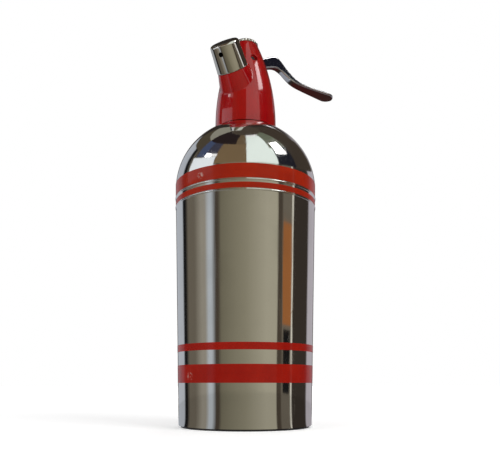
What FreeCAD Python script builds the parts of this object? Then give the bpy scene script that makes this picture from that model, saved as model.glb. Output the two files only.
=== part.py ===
"""A lever soda siphon: chromed bottle with enamelled bands, red head, raised spout and thumb lever.

Millimetres, +Z up. The origin is the middle of the ring that the bottle stands on. The lever
points along +X; the spout leaves the head at its own bearing, raised above the horizontal.
"""
import FreeCAD
import Part
import math
import os
import re
import Sketcher

from FreeCAD import Vector

doc = FreeCAD.newDocument("soda_siphon")
sheet = doc.addObject("Spreadsheet::Sheet", "Sizes")

# Driving dimensions, in millimetres and degrees

SIZES = {
    "skirt_bottom": 1.2,
    "foot_radius": 44.4,
    "shoulder_radius": 50.0,
    "shoulder_height": 165.3,
    "shell_wall": 1.2,
    "neck_hole_radius": 13.0,
    "band_depth": 0.6,
    "band_proud": 0.12,
    "upper_wide_bottom": 158.0,
    "upper_wide_width": 9.7,
    "upper_narrow_bottom": 151.3,
    "upper_narrow_width": 3.8,
    "lower_narrow_bottom": 48.9,
    "lower_narrow_width": 4.6,
    "lower_wide_bottom": 28.8,
    "lower_wide_width": 11.4,
    "bead_radius": 0.7,
    "bead_gap": 0.9,
    "bead_sunk": 0.28,
    "foot_ring_height": 5.0,
    "foot_ring_width": 3.6,
    "foot_ring_chamfer": 0.6,
    "dish_rim_height": 6.2,
    "dish_rise": 5.0,
    "dish_wall": 1.5,
    "neck_bore": 10.0,
    "neck_flange_radius": 17.0,
    "neck_flange_thickness": 2.0,
    "neck_top": 221.0,
    "thread_clearance": 0.05,
    "gasket_thickness": 1.5,
    "gasket_side_gap": 0.3,
    "seat_gap": 0.35,
    "head_base_radius": 22.2,
    "head_straight_top": 216.0,
    "head_arc_radius": 157.7,
    "head_top": 279.0,
    "head_top_radius": 9.0,
    "insert_bottom": 214.4,
    "insert_radius": 16.0,
    "insert_top": 222.3,
    "flange_radius": 15.8,
    "flange_thickness": 3.5,
    "valve_tube_radius": 8.0,
    "valve_tube_bottom": 200.0,
    "valve_bore": 5.5,
    "valve_neck_radius": 9.0,
    "valve_top": 236.0,
    "seat_thickness": 3.0,
    "seat_hole_radius": 3.0,
    "chamber_radius": 7.0,
    "gland_bottom": 243.0,
    "gland_top": 251.2,
    "ring_wire_radius": 0.9,
    "ring_side_gap": 0.1,
    "stem_radius": 2.0,
    "stem_clearance": 0.06,
    "button_radius": 4.5,
    "button_thickness": 3.5,
    "washer_radius": 5.0,
    "washer_thickness": 3.0,
    "washer_nut_radius": 4.4,
    "washer_nut_thickness": 2.0,
    "tube_nut_top": 212.0,
    "tube_nut_head_radius": 7.4,
    "tube_nut_head_height": 4.0,
    "tube_radius": 4.0,
    "tube_bore": 3.0,
    "tube_seat_depth": 3.0,
    "tube_bottom": 20.0,
    "strainer_radius": 5.4,
    "strainer_bottom": 14.5,
    "strainer_floor": 1.5,
    "strainer_top": 30.0,
    "strainer_slot_width": 1.6,
    "strainer_slot_top": 19.0,
    "spring_radius": 4.0,
    "spring_wire_radius": 0.45,
    "spring_turns": 5.0,
    "well_radius": 5.3,
    "slot_bottom": 257.2,
    "slot_top": 274.6,
    "slot_back": 7.4,
    "slot_width": 5.8,
    "pin_offset": 2.0,
    "pin_height": 262.5,
    "pin_radius": 1.8,
    "pin_length": 26.0,
    "pin_recess_radius": 2.8,
    "lever_root_width": 5.2,
    "lever_tip_width": 12.4,
    "lever_root_reach": 20.0,
    "lever_widening_start": 34.0,
    "lever_reach": 83.0,
    "lever_hub_radius": 4.4,
    "hub_top_angle": 72.5,
    "hub_bottom_angle": -41.4,
    "lever_hump_height": 277.9,
    "lever_hump_reach": 27.4,
    "lever_hump_thickness": 9.2,
    "lever_middle_height": 262.4,
    "lever_middle_reach": 50.0,
    "lever_middle_thickness": 2.7,
    "lever_tip_height": 259.2,
    "lever_tip_thickness": 1.8,
    "rise_sag": 1.2,
    "root_top_drop": 2.0,
    "first_fall": 5.7,
    "second_rise": 3.3,
    "sweep_sag": 0.3,
    "sweep_thickness": 2.07,
    "belly_rise": 1.6,
    "belly_drop": 3.2,
    "root_under_drop": 1.7,
    "rise_under_share": 0.55,
    "rise_under_sag": 0.6,
    "nose_reach": 5.5,
    "nose_drop": 5.5,
    "heel_drop": 4.18,
    "nose_radius": 1.6,
    "nose_gap": 0.1,
    "spout_bearing": 210.0,
    "spout_rise": 47.0,
    "spout_root_height": 229.7,
    "boss_radius": 11.3,
    "boss_flare": 0.22,
    "boss_length": 28.9,
    "boss_blend": 2.2,
    "spot_face_gap": 0.4,
    "spout_bore": 3.0,
    "nose_seat_depth": 8.9,
    "nose_shank_radius": 7.0,
    "nose_thread_radius": 8.0,
    "nose_length": 10.6,
    "spout_washer_thickness": 1.4,
    "spout_washer_bore": 4.6,
    "flow_disc_radius": 4.9,
    "flow_disc_thickness": 1.4,
    "flow_hole_radius": 0.75,
    "flow_hole_circle": 3.2,
    "cap_length": 19.7,
    "cap_rim_radius": 11.5,
    "cap_end_radius": 10.6,
    "cap_corner": 2.0,
    "cap_end_wall": 2.4,
    "cap_chamber_radius": 6.5,
    "cap_seat_gap": 0.1,
    "outlet_radius": 1.7,
    "outlet_reach": 42.6,
    "plug_thread_radius": 5.2,
    "plug_stud_radius": 4.0,
    "plug_stud_top": 280.4,
    "plug_gap": 0.4,
    "top_cap_radius": 9.3,
    "top_cap_crown_radius": 8.3,
    "top_cap_lip": 1.7,
    "top_cap_top": 281.6,
    "cut_overshoot": 1.0,
}

for row, (alias, number) in enumerate(SIZES.items(), start=1):
    sheet.set(f"A{row}", alias)
    sheet.set(f"B{row}", str(number))
    sheet.setAlias(f"B{row}", alias)
doc.recompute()


def cells(text):
    """An expression on the sheet: every size named in the text becomes a reference to its cell."""
    return re.sub(r"[a-z]+(?:_[a-z]+)+", lambda found: "Sizes." + found.group(), text)


def value(text):
    """The number that such an expression gives now."""
    return float(sheet.evalExpression(cells(text)))


# Heights and radii that several pieces share

OUTSIDE_SLOPE = "((shoulder_radius - foot_radius) / (shoulder_height - skirt_bottom))"
GASKET_TOP = "(neck_top + gasket_thickness)"
FLANGE_TOP = f"({GASKET_TOP} + flange_thickness)"
SEAT_UNDERSIDE = "(valve_top - seat_thickness)"
WASHER_TOP = f"({SEAT_UNDERSIDE} - stem_clearance)"
WASHER_BOTTOM = f"({WASHER_TOP} - washer_thickness)"
STEM_BOTTOM = f"({WASHER_BOTTOM} - washer_nut_thickness)"
NOSE_BOTTOM = "(pin_height - nose_drop)"
BUTTON_TOP = f"({NOSE_BOTTOM} - nose_gap)"
SHANK_BOTTOM = "(boss_length - nose_seat_depth)"
NOSE_TOP = "(boss_length + nose_length)"
CAP_TOP = "(boss_length + cap_seat_gap + cap_length)"
SPOUT_FRAME = "placement(vector(0;0;spout_root_height);rotation(spout_bearing;90-spout_rise;0))"


def outside(height):
    """The shell's outer radius at a height on its tapered wall."""
    return f"(foot_radius + ({height} - skirt_bottom) * {OUTSIDE_SLOPE})"


def dome(radius, offset="0"):
    """The height of the dome at a radius, or of a dome that lies outside it by an offset."""
    return f"(shoulder_height + sqrt((shoulder_radius + {offset})^2 - ({radius})^2))"


# Builders

def turned(label, corners, frame=None):
    """A body turned about its own Z axis from corners (radius, height).

    A corner may also give the radius of an arc that runs from it to the next corner, and on
    which side of the way there the arc's middle lies: 1 is the left and -1 the right.
    """
    body = doc.addObject("PartDesign::Body", label)
    body.Label = label
    sketch = body.newObject("Sketcher::SketchObject", label + "_outline")
    plane = [item for item in body.Origin.OriginFeatures if item.Role == "XZ_Plane"][0]
    sketch.AttachmentSupport = (plane, [""])
    sketch.MapMode = "FlatFace"
    places = [Vector(value(corner[0]), value(corner[1]), 0) for corner in corners]
    ends = []
    for index, corner in enumerate(corners):
        first = places[index]
        last = places[(index + 1) % len(corners)]
        if len(corner) == 2:
            sketch.addGeometry(Part.LineSegment(first, last))
            ends.append((1, 2))
        else:
            sketch.addGeometry(arc_between(first, last, value(corner[2]), corner[3]))
            ends.append((1, 2) if corner[3] > 0 else (2, 1))
    for index, corner in enumerate(corners):
        following = (index + 1) % len(corners)
        join = (index, ends[index][1], following, ends[following][0])
        sketch.addConstraint(Sketcher.Constraint("Coincident", *join))
    for index, corner in enumerate(corners):
        point = (index, ends[index][0])
        if corner[0] == "0":
            sketch.addConstraint(Sketcher.Constraint("PointOnObject", *point, -2))
        else:
            bind(sketch, "DistanceX", (-1, 1) + point, places[index].x, corner[0])
        if corner[1] == "0":
            sketch.addConstraint(Sketcher.Constraint("PointOnObject", *point, -1))
        else:
            bind(sketch, "DistanceY", (-1, 1) + point, places[index].y, corner[1])
        if len(corner) > 2:
            bind(sketch, "Radius", (index,), value(corner[2]), corner[2])
    turn = body.newObject("PartDesign::Revolution", label + "_turn")
    turn.Profile = (sketch, [""])
    turn.ReferenceAxis = (sketch, ["V_Axis"])
    turn.Angle = 360
    if frame:
        body.setExpression("Placement", cells(frame))
    return body


def arc_between(first, last, radius, side):
    """An arc of a radius from one point to another, with its middle on the given side."""
    along = last - first
    middle = first + along * 0.5
    across = Vector(-along.y, along.x, 0).normalize() * side
    centre = middle + across * math.sqrt(radius ** 2 - (along.Length / 2) ** 2)
    circle = Part.Circle(centre, Vector(0, 0, 1), radius)
    start, stop = (first, last) if side > 0 else (last, first)
    return Part.ArcOfCircle(circle, circle.parameter(start), circle.parameter(stop))


def bind(sketch, kind, where, number, expression):
    """A dimension of a sketch that follows an expression on the sheet."""
    index = sketch.addConstraint(Sketcher.Constraint(kind, *where, number))
    sketch.setExpression(f"Constraints[{index}]", cells(expression))


def ring(label, inner, outer, bottom, top, frame=None):
    """A plain ring or tube between two radii and two heights."""
    return turned(label, [(inner, bottom), (outer, bottom), (outer, top), (inner, top)], frame)


def primitive(kind, label, sizes, frame):
    """A Part primitive whose sizes and placement follow the sheet."""
    shape = doc.addObject("Part::" + kind, label)
    for name, expression in sizes.items():
        shape.setExpression(name, cells(expression))
    shape.setExpression("Placement", cells(frame))
    return shape


def cylinder(label, radius, height, frame):
    return primitive("Cylinder", label, {"Radius": radius, "Height": height}, frame)


def at(x="0", y="0", z="0", turn="0;0;0"):
    """A placement expression: a position, then yaw, pitch and roll in degrees."""
    return f"placement(vector({x};{y};{z});rotation({turn}))"


def joined(label, pieces):
    """Several shapes as one."""
    union = doc.addObject("Part::MultiFuse", label)
    union.Shapes = pieces
    union.Refine = True
    return union


def cut(label, base, tools):
    """A shape with others taken out of it."""
    result = doc.addObject("Part::Cut", label)
    result.Label = label
    result.Base = base
    result.Tool = tools[0] if len(tools) == 1 else joined(label + "_tools", tools)
    return result


# The bottle

def band(label, bottom, width):
    """An enamelled band that fills its groove in the shell and stands a little proud of it."""
    top = f"({bottom} + {width})"
    return turned(label, [
        (f"{outside(bottom)} - band_depth", bottom),
        (f"{outside(bottom)} + band_proud", bottom),
        (f"min({outside(top)}; shoulder_radius) + band_proud", top),
        (f"{outside(bottom)} - band_depth", top),
    ])


bands = [
    band("upper_wide_band", "upper_wide_bottom", "upper_wide_width"),
    band("upper_narrow_band", "upper_narrow_bottom", "upper_narrow_width"),
    band("lower_narrow_band", "lower_narrow_bottom", "lower_narrow_width"),
    band("lower_wide_band", "lower_wide_bottom", "lower_wide_width"),
]

shell_blank = turned("shell_blank", [
    ("foot_radius - shell_wall", "skirt_bottom"),
    ("foot_radius", "skirt_bottom"),
    ("shoulder_radius", "shoulder_height", "shoulder_radius", 1),
    ("neck_hole_radius", dome("neck_hole_radius")),
    ("neck_hole_radius", dome("neck_hole_radius", "-shell_wall"),
     "shoulder_radius - shell_wall", -1),
    ("shoulder_radius - shell_wall", "shoulder_height"),
])


def bead(label, below):
    """A rolled bead round the shell just below a band."""
    height = f"({below} - bead_gap)"
    middle = f"{outside(height)} - bead_sunk"
    return primitive("Torus", label, {"Radius1": middle, "Radius2": "bead_radius"}, at(z=height))


beaded_shell = joined("beaded_shell", [
    shell_blank,
    bead("wide_bead", "upper_wide_bottom"),
    bead("narrow_bead", "upper_narrow_bottom"),
])
bottle_shell = cut("bottle_shell", beaded_shell, bands)

FOOT_INSIDE = "foot_radius - shell_wall"
foot_ring = turned("foot_ring", [
    (f"{FOOT_INSIDE} - foot_ring_width", "0"),
    (f"{FOOT_INSIDE} - foot_ring_chamfer", "0"),
    (FOOT_INSIDE, "skirt_bottom"),
    (FOOT_INSIDE, "foot_ring_height"),
    (f"{FOOT_INSIDE} - foot_ring_width", "foot_ring_height"),
])

DISH_RADIUS = f"({outside('dish_rim_height')} - shell_wall)"
DISH_CURVE = f"(({DISH_RADIUS}^2 + dish_rise^2) / (2 * dish_rise))"
bottle_bottom = turned("bottle_bottom", [
    (DISH_RADIUS, "dish_rim_height", DISH_CURVE, 1),
    ("0", "dish_rim_height + dish_rise"),
    ("0", "dish_rim_height + dish_rise + dish_wall", DISH_CURVE, -1),
    (DISH_RADIUS, "dish_rim_height + dish_wall"),
])

FLANGE_SEAT = dome("neck_flange_radius", "-shell_wall")
neck_ring = turned("neck_ring", [
    ("neck_bore", f"{FLANGE_SEAT} - neck_flange_thickness"),
    ("neck_flange_radius", f"{FLANGE_SEAT} - neck_flange_thickness"),
    ("neck_flange_radius", FLANGE_SEAT, "shoulder_radius - shell_wall", 1),
    ("neck_hole_radius", dome("neck_hole_radius", "-shell_wall")),
    ("neck_hole_radius", "neck_top"),
    ("neck_bore", "neck_top"),
])

# The head's casing

ogive = turned("ogive", [
    ("0", "skirt_bottom + shoulder_height"),
    ("head_base_radius", "skirt_bottom + shoulder_height"),
    ("head_base_radius", "head_straight_top", "head_arc_radius", 1),
    ("head_top_radius", "head_top"),
    ("0", "head_top"),
])
boss = primitive("Cone", "boss", {
    "Radius1": "boss_radius + boss_flare * boss_length",
    "Radius2": "boss_radius - boss_flare * cap_length",
    "Height": "boss_length + cap_length",
}, SPOUT_FRAME)
head_blank = joined("head_blank", [ogive, boss])
doc.recompute()


EDGE_TOLERANCE = 0.1


def meeting_edges(shape):
    """The numbers of the edges where the boss leaves the column."""
    axis = boss.Placement.Rotation.multVec(Vector(0, 0, 1))
    root = boss.Placement.Base
    flare = value("boss_flare")
    numbers = []
    for number, edge in enumerate(shape.Edges, start=1):
        points = [point - root for point in edge.discretize(9)]
        misses = [point.cross(axis).Length + flare * point.dot(axis) - boss.Radius1.Value
                  for point in points]
        on_boss = all(abs(miss) < EDGE_TOLERANCE for miss in misses)
        on_column = all(point.dot(axis) < boss.Height.Value - 1 for point in points)
        turning = points[0].cross(points[-1]).Length > 0.01 * points[0].cross(axis).Length
        straight = edge.Curve.TypeId == "Part::GeomLine"
        if on_boss and on_column and turning and not straight:
            numbers.append(number)
    return numbers


blended = doc.addObject("Part::Fillet", "blended_head")
blended.Base = head_blank
blend = value("boss_blend")
blended.Edges = [(number, blend, blend) for number in meeting_edges(head_blank.Shape)]

SLOT_LENGTH = "(head_base_radius + slot_back)"


def along_spout(share, reach):
    """One coordinate of a point on the spout's axis, from that axis's share of a reach."""
    return f"({share} * ({reach}))"


head_tools = [
    primitive("Sphere", "dome_seat", {"Radius": "shoulder_radius + seat_gap"},
              at(z="shoulder_height")),
    cylinder("skirt_bore", "insert_radius", f"{FLANGE_TOP} - shoulder_height",
             at(z="shoulder_height")),
    cylinder("valve_neck_bore", "valve_neck_radius", f"valve_top - {GASKET_TOP}",
             at(z=GASKET_TOP)),
    cylinder("chamber_bore", "chamber_radius", f"gland_top - {GASKET_TOP}", at(z=GASKET_TOP)),
    cylinder("well_bore", "well_radius", f"head_top - {GASKET_TOP}", at(z=GASKET_TOP)),
    primitive("Box", "lever_slot",
              {"Length": SLOT_LENGTH, "Width": "slot_width", "Height": "slot_top - slot_bottom"},
              at("-slot_back", "-slot_width / 2", "slot_bottom")),
    cylinder("pin_hole", "pin_radius", "2 * head_base_radius",
             at("-pin_offset", "head_base_radius", "pin_height", "0;0;90")),
    turned("spout_bore_tool", [
        ("0", "0"),
        ("spout_bore", "0"),
        ("spout_bore", SHANK_BOTTOM),
        ("nose_shank_radius", SHANK_BOTTOM),
        ("nose_shank_radius", "boss_length + cut_overshoot"),
        ("0", "boss_length + cut_overshoot"),
    ], SPOUT_FRAME),
    cylinder("cap_spot_face", "cap_rim_radius + spot_face_gap", "2 * cap_length",
             at(along_spout("cos(spout_rise) * cos(spout_bearing)", "boss_length"),
                along_spout("cos(spout_rise) * sin(spout_bearing)", "boss_length"),
                "spout_root_height + " + along_spout("sin(spout_rise)", "boss_length"),
                "spout_bearing;90-spout_rise;0")),
]
for name, side in (("near_recess", "-1"), ("far_recess", "1")):
    head_tools.append(cylinder(
        name, "pin_recess_radius", "head_base_radius",
        at("-pin_offset", f"{side} * (pin_length / 2) + ({side} + 1) / 2 * head_base_radius",
           "pin_height", "0;0;90")))
head_housing = cut("head_housing", blended, head_tools)

# What the head holds

ring("coupling_insert", "neck_hole_radius + thread_clearance", "insert_radius",
     "insert_bottom", "insert_top")
ring("neck_gasket", "neck_bore", "neck_hole_radius - gasket_side_gap", "neck_top", GASKET_TOP)

valve_body = turned("valve_body", [
    ("valve_bore", "valve_tube_bottom"),
    ("valve_tube_radius", "valve_tube_bottom"),
    ("valve_tube_radius", GASKET_TOP),
    ("flange_radius", GASKET_TOP),
    ("flange_radius", FLANGE_TOP),
    ("valve_neck_radius", FLANGE_TOP),
    ("valve_neck_radius", "valve_top"),
    ("seat_hole_radius", "valve_top"),
    ("seat_hole_radius", SEAT_UNDERSIDE),
    ("valve_bore", SEAT_UNDERSIDE),
])
NUT_BOTTOM = "(valve_tube_bottom - tube_nut_head_height)"
TUBE_TOP = "(tube_nut_top - tube_seat_depth)"
tube_nut = turned("tube_nut", [
    ("tube_radius", NUT_BOTTOM),
    ("tube_nut_head_radius", NUT_BOTTOM),
    ("tube_nut_head_radius", "valve_tube_bottom"),
    ("valve_bore", "valve_tube_bottom"),
    ("valve_bore", "tube_nut_top"),
    ("tube_bore", "tube_nut_top"),
    ("tube_bore", TUBE_TOP),
    ("tube_radius", TUBE_TOP),
])
ring("dip_tube", "tube_bore", "tube_radius", "tube_bottom", TUBE_TOP)

strainer_blank = turned("strainer_blank", [
    ("0", "strainer_bottom"),
    ("strainer_radius", "strainer_bottom"),
    ("strainer_radius", "strainer_top"),
    ("tube_radius", "strainer_top"),
    ("tube_radius", "tube_bottom"),
    ("tube_bore", "tube_bottom"),
    ("tube_bore", "strainer_bottom + strainer_floor"),
    ("0", "strainer_bottom + strainer_floor"),
])
slots = []
for name, yaw in (("strainer_slot_a", "0"), ("strainer_slot_b", "90")):
    slot = primitive("Box", name, {
        "Length": "4 * strainer_radius",
        "Width": "strainer_slot_width",
        "Height": "strainer_slot_top - strainer_bottom - strainer_floor",
    }, at(turn=yaw + ";0;0"))
    slots.append(slot)
slots[0].setExpression("Placement", cells(
    at("-2 * strainer_radius", "-strainer_slot_width / 2", "strainer_bottom + strainer_floor")))
slots[1].setExpression("Placement", cells(
    at("strainer_slot_width / 2", "-2 * strainer_radius", "strainer_bottom + strainer_floor", "90;0;0")))
cut("tube_strainer", strainer_blank, slots)

RING_ROOM = "(2 * ring_wire_radius + 2 * ring_side_gap)"
turned("stem_gland", [
    ("stem_radius + stem_clearance", f"gland_bottom + {RING_ROOM}"),
    (f"stem_radius + {RING_ROOM}", f"gland_bottom + {RING_ROOM}"),
    (f"stem_radius + {RING_ROOM}", "gland_bottom"),
    ("chamber_radius", "gland_bottom"),
    ("chamber_radius", "gland_top"),
    ("stem_radius + stem_clearance", "gland_top"),
])
gland_ring = primitive(
    "Torus", "gland_ring",
    {"Radius1": "stem_radius + stem_clearance + ring_wire_radius", "Radius2": "ring_wire_radius"},
    at(z="gland_bottom + ring_wire_radius + ring_side_gap"))
cylinder("lever_pin", "pin_radius", "pin_length",
         at("-pin_offset", "pin_length / 2", "pin_height", "0;0;90"))
turned("top_plug", [
    ("0", "slot_top + plug_gap"),
    ("plug_thread_radius", "slot_top + plug_gap"),
    ("plug_thread_radius", "head_top"),
    ("plug_stud_radius", "head_top"),
    ("plug_stud_radius", "plug_stud_top"),
    ("0", "plug_stud_top"),
])

# The stem that the lever pushes down, and its spring

ring("stem_button", "stem_radius", "button_radius", f"{BUTTON_TOP} - button_thickness", BUTTON_TOP)
cylinder("valve_stem", "stem_radius", f"{BUTTON_TOP} - {STEM_BOTTOM}", at(z=STEM_BOTTOM))
ring("valve_washer", "stem_radius", "washer_radius", WASHER_BOTTOM, WASHER_TOP)
ring("washer_nut", "stem_radius", "washer_nut_radius", STEM_BOTTOM, WASHER_BOTTOM)

SPRING_BOTTOM = "(tube_nut_top + 2 * spring_wire_radius)"
SPRING_HEIGHT = f"({STEM_BOTTOM} - 2 * spring_wire_radius - {SPRING_BOTTOM})"
coil = primitive("Helix", "spring_coil", {
    "Pitch": f"{SPRING_HEIGHT} / spring_turns",
    "Height": SPRING_HEIGHT,
    "Radius": "spring_radius",
}, at(z=SPRING_BOTTOM))
wire = primitive("Circle", "spring_wire", {"Radius": "spring_wire_radius"},
                 at("spring_radius", "0", SPRING_BOTTOM, "0;0;90"))
spring = doc.addObject("Part::Sweep", "valve_spring")
spring.Sections = [wire]
spring.Spine = (coil, ["Edge1"])
spring.Solid = True
spring.Frenet = True

# The thumb lever

def on_hub(angle):
    """A point on the lever's hub, at an angle in degrees above the way it points."""
    turn = math.radians(value(angle))
    hub = value("lever_hub_radius")
    return lever_pivot() + Vector(hub * math.cos(turn), 0, hub * math.sin(turn))


def lever_pivot():
    return Vector(-value("pin_offset"), 0, value("pin_height"))


def lever_side():
    """The lever seen from the side, as a face: a hub, a humped arm and a thin thumb end."""
    root = value("lever_root_reach")
    hump_x = value("lever_hump_reach")
    hump_z = value("lever_hump_height")
    middle_x = value("lever_middle_reach")
    middle_z = value("lever_middle_height")
    tip_x = value("lever_reach")
    tip_z = value("lever_tip_height")
    near_x = (hump_x * 2 + middle_x) / 3
    far_x = (hump_x + middle_x * 2) / 3
    sweep_x = (middle_x + tip_x) / 2
    sweep_z = (middle_z + tip_z) / 2 - value("sweep_sag")
    hump_under = hump_z - value("lever_hump_thickness")
    middle_under = middle_z - value("lever_middle_thickness")
    top_start = on_hub("hub_top_angle")
    bottom_start = on_hub("hub_bottom_angle")
    top = Part.BSplineCurve()
    top.interpolate([
        top_start,
        Vector(root / 2, 0, (top_start.z + hump_z) / 2 - value("rise_sag")),
        Vector(root, 0, hump_z - value("root_top_drop")),
        Vector(hump_x, 0, hump_z),
        Vector(near_x, 0, hump_z - value("first_fall")),
        Vector(far_x, 0, middle_z + value("second_rise")),
        Vector(middle_x, 0, middle_z),
        Vector(sweep_x, 0, sweep_z),
        Vector(tip_x, 0, tip_z),
    ])
    bottom = Part.BSplineCurve()
    bottom.interpolate([
        Vector(tip_x, 0, tip_z - value("lever_tip_thickness")),
        Vector(sweep_x, 0, sweep_z - value("sweep_thickness")),
        Vector(middle_x, 0, middle_under),
        Vector(far_x, 0, middle_under + value("belly_rise")),
        Vector(near_x, 0, hump_under - value("belly_drop")),
        Vector(hump_x, 0, hump_under),
        Vector(root, 0, hump_under - value("root_under_drop")),
        Vector(root * value("rise_under_share"), 0,
               (bottom_start.z + hump_under) / 2 - value("rise_under_sag")),
        bottom_start,
    ])
    end = Part.LineSegment(top.EndPoint, bottom.StartPoint)
    behind = lever_pivot() - Vector(value("lever_hub_radius"), 0, 0)
    back = Part.Arc(bottom_start, behind, top_start)
    edges = [top.toShape(), end.toShape(), bottom.toShape(), back.toShape()]
    return Part.Face(Part.Wire(edges))


def lever_plan():
    """The lever seen from above, as a face: narrow in its slot and wide under the thumb."""
    narrow = value("lever_root_width") / 2
    wide = value("lever_tip_width") / 2
    start = value("lever_widening_start")
    tip = value("lever_reach")
    over = value("cut_overshoot")
    back = -value("pin_offset") - value("lever_hub_radius") - over
    low = value(NOSE_BOTTOM) - over
    near = [Vector(back, -narrow, low), Vector(start, -narrow, low), Vector(tip - wide, -wide, low)]
    far = [Vector(point.x, -point.y, low) for point in reversed(near)]
    edges = [Part.LineSegment(a, b).toShape() for a, b in zip(near, near[1:])]
    edges.append(Part.Arc(near[-1], Vector(tip, 0, low), far[0]).toShape())
    edges += [Part.LineSegment(a, b).toShape() for a, b in zip(far, far[1:])]
    edges.append(Part.LineSegment(far[-1], near[0]).toShape())
    return Part.Face(Part.Wire(edges))


def lever_shape():
    """Where the two outlines agree, with the nose that pushes the stem and the pin's hole."""
    over = value("cut_overshoot")
    width = value("lever_tip_width") + over
    side = lever_side()
    side.translate(Vector(0, -width / 2, 0))
    slab = side.extrude(Vector(0, width, 0))
    height = value("lever_hump_height") - value(NOSE_BOTTOM) + 2 * over
    blade = slab.common(lever_plan().extrude(Vector(0, 0, height)))
    thick = value("lever_root_width")
    across = Vector(0, 1, 0)
    pivot = lever_pivot() - across * (thick / 2)
    nose_x = value("nose_reach") - value("pin_offset")
    nose_z = value(NOSE_BOTTOM) + value("nose_radius")
    nose_radius = value("nose_radius")
    nose = Part.makeCylinder(nose_radius, thick, Vector(nose_x, -thick / 2, nose_z), across)
    hub_low = pivot.z - value("heel_drop")
    heel = Part.makePolygon([
        pivot,
        Vector(pivot.x, pivot.y, hub_low),
        Vector(nose_x, pivot.y, nose_z - nose_radius),
        Vector(nose_x + nose_radius, pivot.y, nose_z),
        Vector(nose_x + nose_radius, pivot.y, pivot.z + nose_radius),
        pivot,
    ])
    nose = nose.fuse(Part.Face(heel).extrude(across * thick))
    hole = value("pin_radius") + value("stem_clearance")
    bore = Part.makeCylinder(hole, thick, pivot, across)
    return blade.fuse(nose).removeSplitter().cut(bore)


lever = doc.addObject("Part::Feature", "lever")
lever.Shape = lever_shape()

# The spout's nose and cap, turned about the boss

turned("spout_nose", [
    ("spout_bore", SHANK_BOTTOM),
    ("nose_shank_radius", SHANK_BOTTOM),
    ("nose_shank_radius", "boss_length"),
    ("nose_thread_radius", "boss_length"),
    ("nose_thread_radius", NOSE_TOP),
    ("flow_disc_radius", NOSE_TOP),
    ("flow_disc_radius", f"{NOSE_TOP} - flow_disc_thickness"),
    ("spout_bore", f"{NOSE_TOP} - flow_disc_thickness"),
], SPOUT_FRAME)

disc_blank = cylinder("disc_blank", "flow_disc_radius", "flow_disc_thickness",
                      at(z=f"{NOSE_TOP} - flow_disc_thickness"))
FLOW_HOLES = 6
holes = []
for number in range(FLOW_HOLES + 1):
    turn = f"{number} * {360 / FLOW_HOLES}"
    reach = "flow_hole_circle" if number else "0"
    holes.append(cylinder(
        f"flow_hole_{number}", "flow_hole_radius", "flow_disc_thickness",
        at(f"{reach} * cos({turn})", f"{reach} * sin({turn})",
           f"{NOSE_TOP} - flow_disc_thickness")))
flow_disc = cut("flow_disc", disc_blank, holes)
flow_disc.setExpression("Placement", cells(SPOUT_FRAME))

ring("spout_washer", "spout_washer_bore", "nose_thread_radius", NOSE_TOP,
     f"{NOSE_TOP} + spout_washer_thickness", SPOUT_FRAME)

WASHER_SEAT = f"({NOSE_TOP} + spout_washer_thickness + cap_seat_gap)"
cap_blank = turned("cap_blank", [
    ("nose_thread_radius + thread_clearance", "boss_length + cap_seat_gap"),
    ("cap_rim_radius", "boss_length + cap_seat_gap"),
    ("cap_end_radius", f"{CAP_TOP} - cap_corner", "cap_corner", 1),
    ("cap_end_radius - cap_corner", CAP_TOP),
    ("0", CAP_TOP),
    ("0", f"{CAP_TOP} - cap_end_wall"),
    ("cap_chamber_radius", f"{CAP_TOP} - cap_end_wall"),
    ("cap_chamber_radius", WASHER_SEAT),
    ("nose_thread_radius + thread_clearance", WASHER_SEAT),
])
outlet = cylinder("outlet", "outlet_radius", "cap_rim_radius",
                  at("cap_chamber_radius - cut_overshoot", "0", "outlet_reach", "0;90;0"))
spout_cap = cut("spout_cap", cap_blank, [outlet])
spout_cap.setExpression("Placement", cells(SPOUT_FRAME))

turned("top_cap", [
    ("plug_stud_radius + thread_clearance", "head_top + cap_seat_gap"),
    ("top_cap_radius", "head_top + cap_seat_gap"),
    ("top_cap_radius", "head_top + top_cap_lip"),
    ("top_cap_crown_radius", "top_cap_top"),
    ("0", "top_cap_top"),
    ("0", "plug_stud_top + plug_gap"),
    ("plug_stud_radius + thread_clearance", "plug_stud_top + plug_gap"),
])

NODES = [
    "bottle_shell", "bottle_bottom", "foot_ring", "upper_wide_band", "upper_narrow_band",
    "lower_narrow_band", "lower_wide_band", "neck_ring", "head_housing", "coupling_insert",
    "neck_gasket", "valve_body", "tube_nut", "dip_tube", "tube_strainer", "stem_gland",
    "gland_ring", "lever_pin", "top_plug", "stem_button", "valve_stem", "valve_washer",
    "washer_nut", "valve_spring", "lever", "spout_nose", "flow_disc", "spout_washer",
    "spout_cap", "top_cap",
]

doc.recompute()
broken = [item.Label for item in doc.Objects if {"Invalid", "Error"} & set(item.State)]
if broken:
    raise RuntimeError(f"failed objects: {broken}")
pieces = {item.Label: item for item in doc.Objects}
for node in NODES:
    shape = pieces[node].Shape
    if shape.isNull() or not shape.isValid() or not shape.Solids:
        raise RuntimeError(f"{node} has no sound shape")

os.makedirs("parts", exist_ok=True)
for node in NODES:
    shape = pieces[node].Shape
    shape.exportStep(f"parts/{node}.step")
    box = shape.BoundBox
    print(f"{node}: {len(shape.Solids)} solid, {shape.Volume:.1f} mm3, "
          f"z {box.ZMin:.2f} to {box.ZMax:.2f}")
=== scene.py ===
# %% [markdown]
# A lever soda siphon, dressed for the camera.
# The real thing is a chromed steel bottle of about one litre with enamelled bands, a cast head in
# glossy red enamel, a raised spout under a chromed cap, and a chromed thumb lever.
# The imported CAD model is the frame: each piece below stands exactly where its CAD node stands.

# %% Load the frame
import math

import bmesh
import bpy
import numpy as np
from mathutils import Matrix, Vector


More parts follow.
